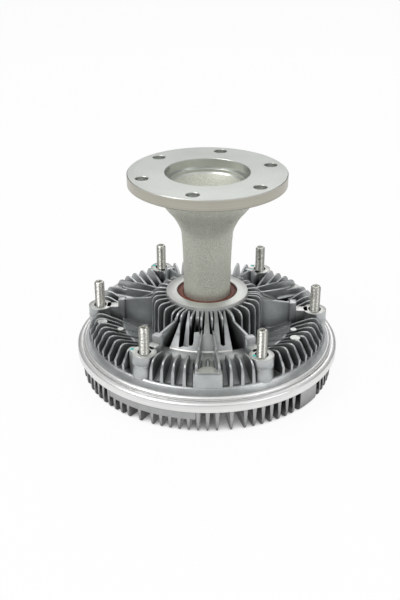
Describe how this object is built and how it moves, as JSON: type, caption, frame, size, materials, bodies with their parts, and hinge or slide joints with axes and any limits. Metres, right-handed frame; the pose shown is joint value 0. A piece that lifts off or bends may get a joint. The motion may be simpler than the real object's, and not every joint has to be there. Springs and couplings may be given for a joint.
{
  "type": "viscous fan clutch",
  "caption": "Viscous fan clutch for an engine's cooling fan: a flanged drive shaft on a finned aluminium housing whose studs carry the fan.",
  "frame": {"origin": "on the shaft axis, in the plane of the front cover's fin tips", "axes": "+Z along the shaft from the front cover to the drive flange; -Y through the reservoir box that faces the camera"},
  "size_m": [0.26, 0.26, 0.2055],
  "materials": {
    "cast_aluminium": "as cast, blasted",
    "cover_aluminium": "as cast with a turned rim",
    "shaft_steel": "turned flange, blasted neck",
    "seal_rubber": "matt",
    "bearing_steel": "ground",
    "plate_steel": "rolled",
    "spring_steel": "rolled",
    "bimetal": "rolled",
    "rotor_aluminium": "turned",
    "plastic_pin": "moulded",
    "stud_steel": "zinc plated"
  },
  "bodies": {
    "housing": {"rear_housing": "cast_aluminium", "front_cover": "cover_aluminium", "fan_stud_1": "stud_steel", "fan_stud_2": "stud_steel", "fan_stud_3": "stud_steel", "fan_stud_4": "stud_steel", "fan_stud_5": "stud_steel", "fan_stud_6": "stud_steel", "shaft_seal": "seal_rubber", "bearing_outer_ring": "bearing_steel", "separator_plate": "plate_steel", "valve_leaf": "spring_steel", "bimetal_strip": "bimetal", "strip_bracket_left": "plate_steel", "strip_bracket_right": "plate_steel"},
    "shaft": {"input_shaft": "shaft_steel", "rotor": "rotor_aluminium", "rotor_key": "bearing_steel", "rotor_nut": "bearing_steel"},
    "pin": {"control_pin": "plastic_pin"}
  },
  "joints": [
    {"name": "shaft_spin", "type": "hinge", "parent": "housing", "child": "shaft", "pos_m": [0, 0, 0.0601], "axis": [0, 0, 1], "continuous": true},
    {"name": "pin_slide", "type": "slide", "parent": "housing", "child": "pin", "axis": [0, 0, -1], "range_m": [0, 0.0015], "stiffness_N_per_m": 200, "deforming": ["valve_leaf", "bimetal_strip"]}
  ]
}
